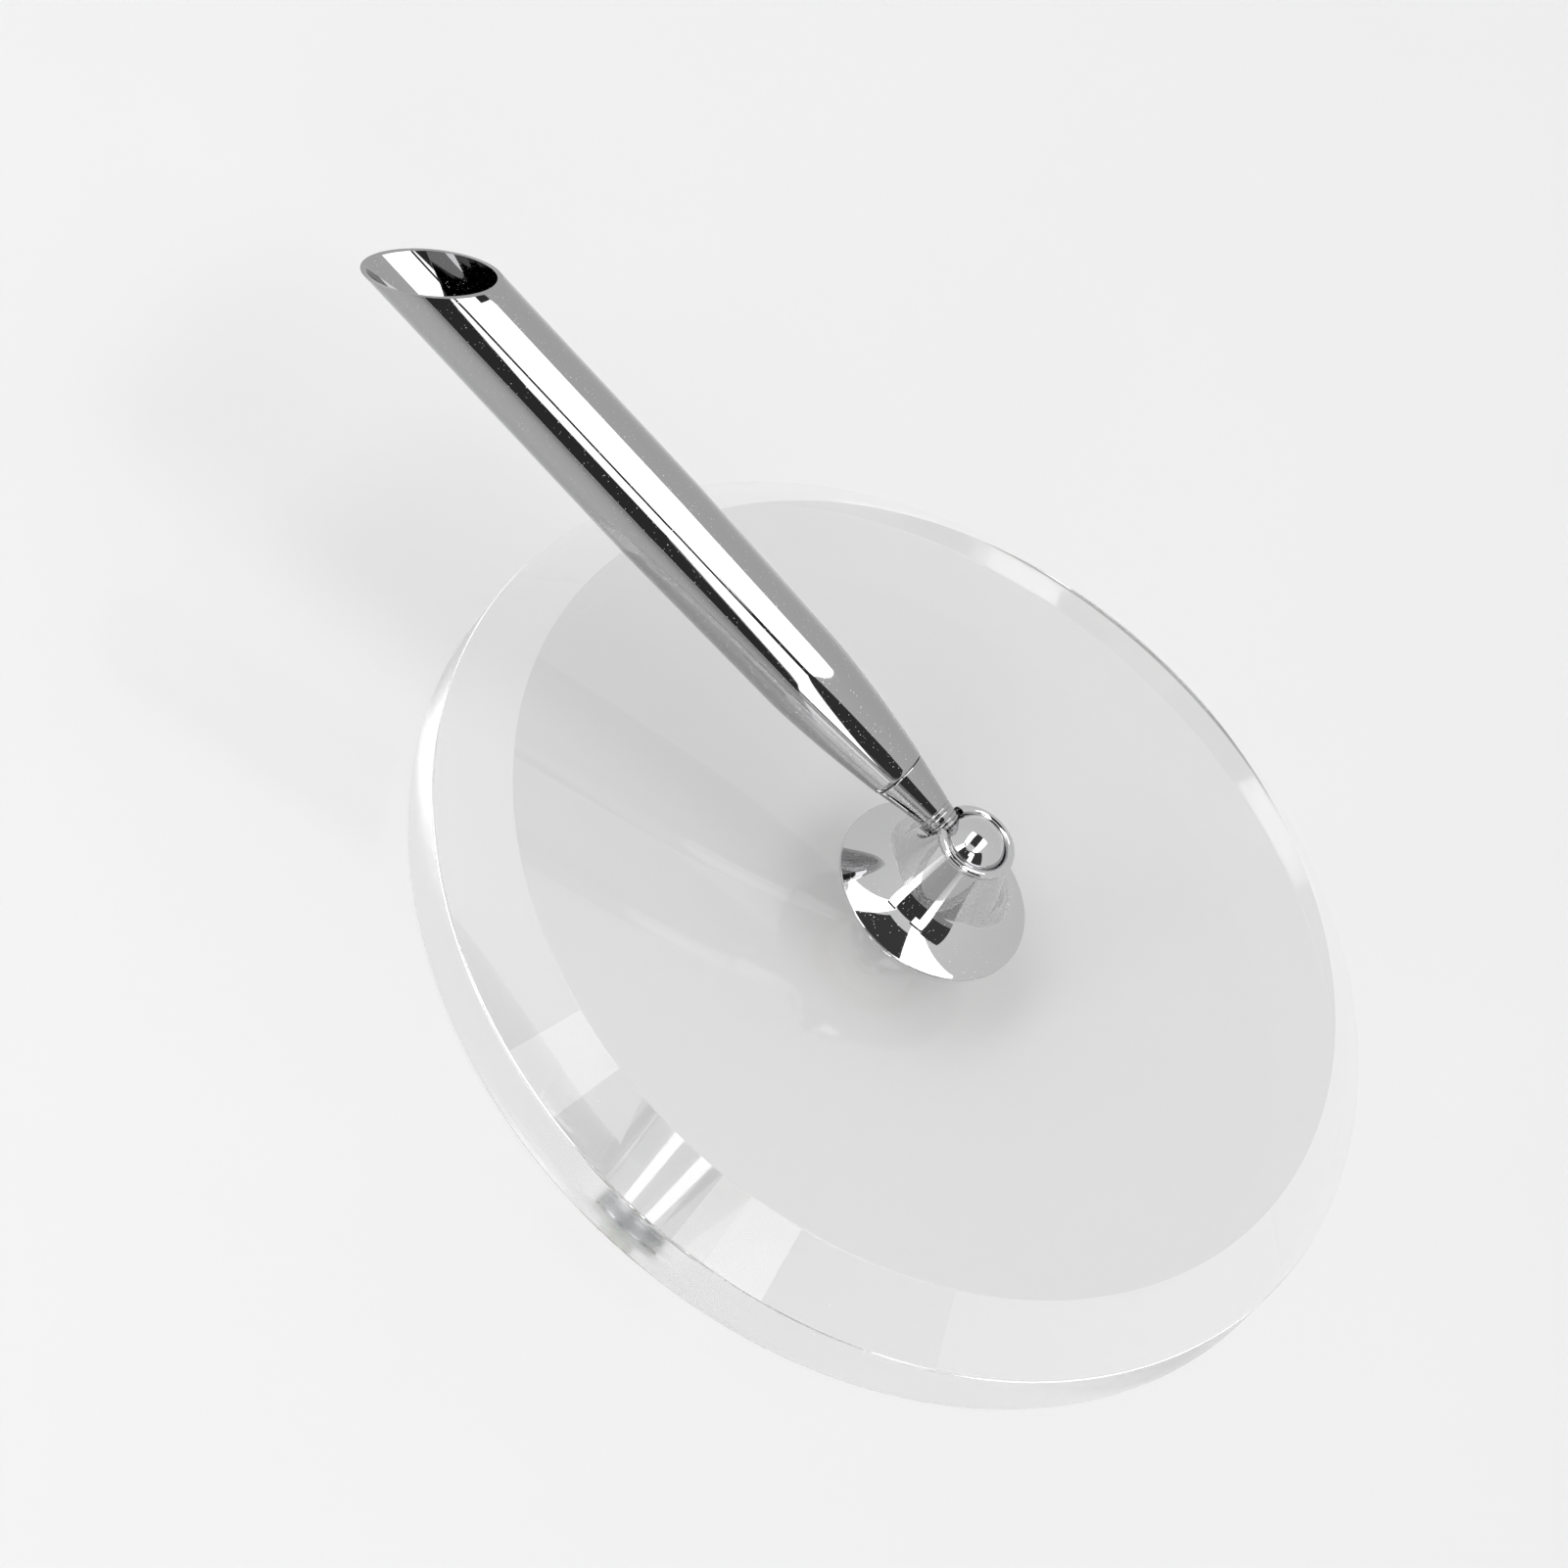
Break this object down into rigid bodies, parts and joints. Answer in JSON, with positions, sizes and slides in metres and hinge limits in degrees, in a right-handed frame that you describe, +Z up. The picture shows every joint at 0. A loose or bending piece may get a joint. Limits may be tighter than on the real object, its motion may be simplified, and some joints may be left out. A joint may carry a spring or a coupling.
{
  "type": "desk pen stand",
  "caption": "Desk pen stand: a polished pen funnel on a ball joint, carried by a flared swivel base on a thick, clear, bevelled round disc.",
  "frame": {"origin": "centre of the clear disc's underside, on the axis of the disc, its screw and the swivel base", "axes": "+Z up along the disc's axis, -X the way the funnel points as it stands, +Y completes a right-handed frame"},
  "size_m": [0.1646, 0.127, 0.0473],
  "materials": {
    "clear_acrylic": "clear polished acrylic with a faint grey tint",
    "polished_chrome": "mirror-polished chrome plate",
    "zinc_steel": "bright zinc plate",
    "spring_steel": "drawn wire",
    "brass": "turned, unplated",
    "nylon": "natural moulded nylon",
    "black_rubber": "matt moulded rubber"
  },
  "bodies": {
    "stand": {"disc_base": "clear_acrylic", "disc_bush": "nylon", "flat_washer": "zinc_steel", "spring_washer": "zinc_steel"},
    "swivel": {"swivel_base": "polished_chrome", "base_insert": "brass", "base_screw": "zinc_steel", "seat_spring": "spring_steel", "ball_seat": "nylon"},
    "ball": {"ball_stud": "polished_chrome"},
    "funnel": {"funnel_nozzle": "polished_chrome", "funnel_tube": "polished_chrome", "tip_cushion": "black_rubber"}
  },
  "joints": [
    {"name": "base_swivel", "type": "hinge", "parent": "stand", "child": "swivel", "pos_m": [0, 0, 0.0142], "axis": [0, 0, 1], "continuous": true},
    {"name": "funnel_tilt", "type": "hinge", "parent": "swivel", "child": "ball", "pos_m": [0, 0, 0.0243], "axis": [0, 1, 0], "range_deg": [-11, 113]},
    {"name": "funnel_spin", "type": "hinge", "parent": "ball", "child": "funnel", "pos_m": [0, 0, 0.0243], "axis": [-0.9816, 0, 0.1908], "continuous": true}
  ]
}
